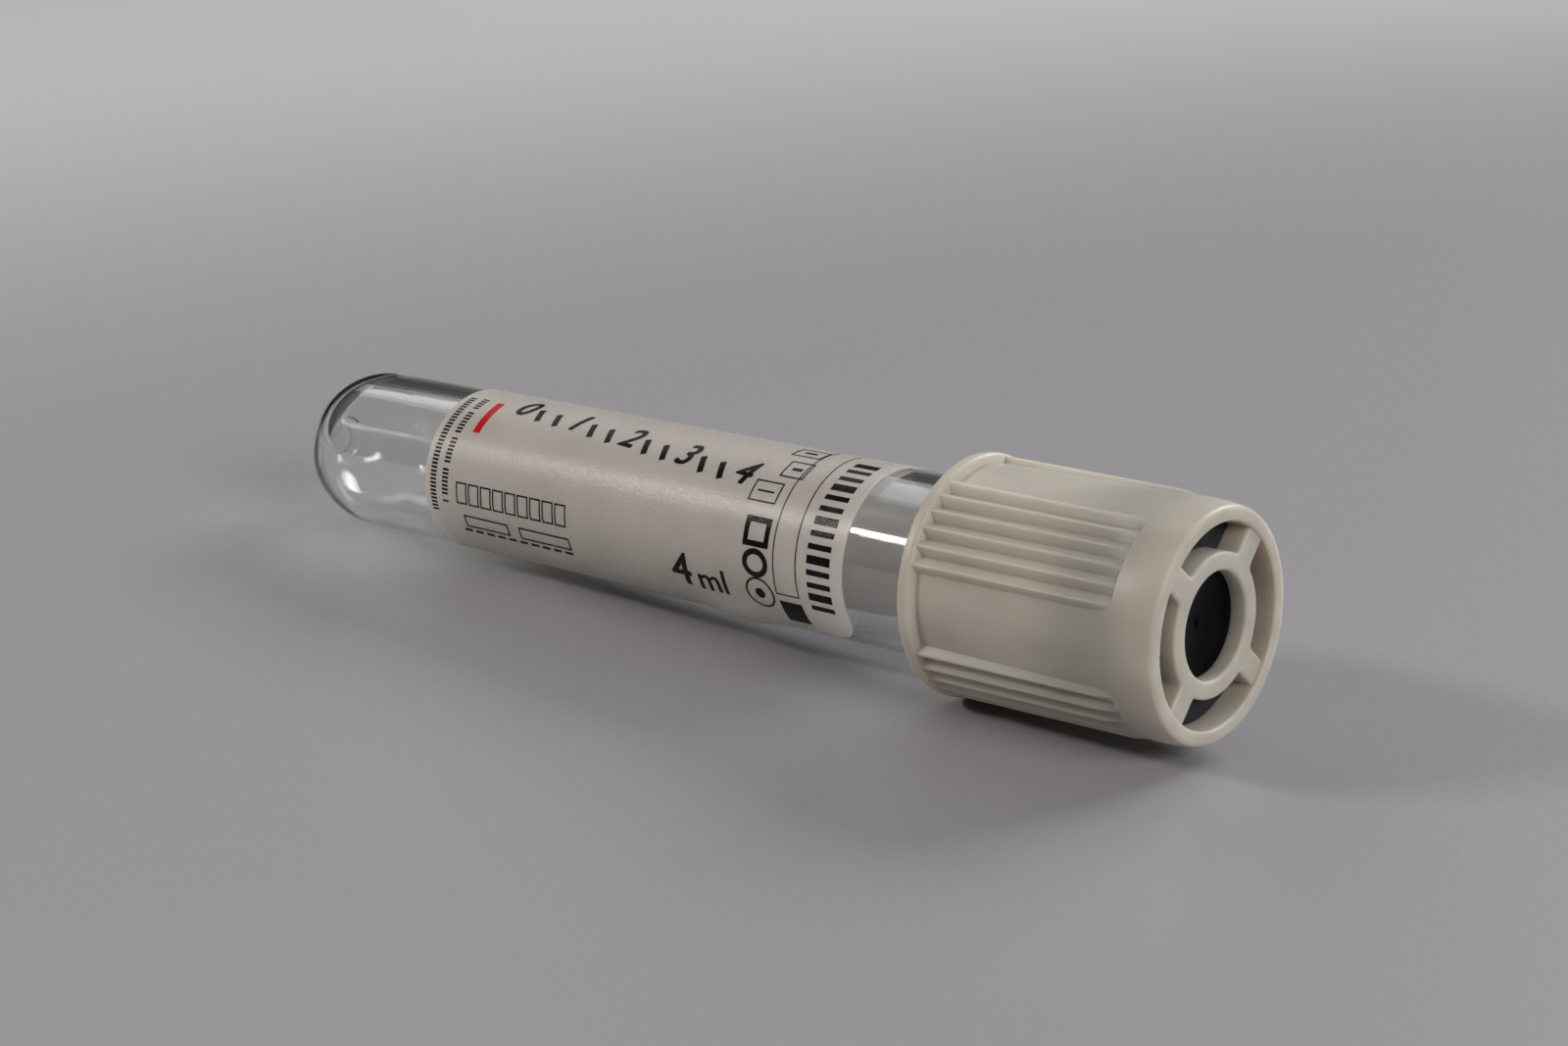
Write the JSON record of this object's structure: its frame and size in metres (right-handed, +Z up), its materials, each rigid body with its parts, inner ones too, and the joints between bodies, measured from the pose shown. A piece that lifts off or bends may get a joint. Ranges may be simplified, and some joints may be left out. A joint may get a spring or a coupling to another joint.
{
  "type": "blood collection tube",
  "caption": "Clear round-bottomed blood tube lying on its side, with a white label, a black rubber stopper and a ridged ivory safety cap with a needle port.",
  "frame": {"origin": "centre of the base of the bounding box, on the surface that the tube lies on", "axes": "+X along the tube from its round end to its cap, seen from above; +Z up. The tube's own axis rises towards the cap by the angle at which it rests."},
  "size_m": [0.0832, 0.0168, 0.0172],
  "materials": {
    "clear_pet": "clear, polished mould finish",
    "label_film": "satin printed film",
    "butyl_rubber": "smooth moulded rubber",
    "ivory_polypropylene": "fine satin mould finish"
  },
  "bodies": {
    "vessel": {"tube": "clear_pet", "label": "label_film"},
    "closure": {"cap": "ivory_polypropylene", "stopper": "butyl_rubber"}
  },
  "joints": [
    {"name": "closure_pull", "type": "slide", "parent": "vessel", "child": "closure", "axis": [0.9991, 0, 0.0413], "range_m": [0, 0.025]}
  ]
}
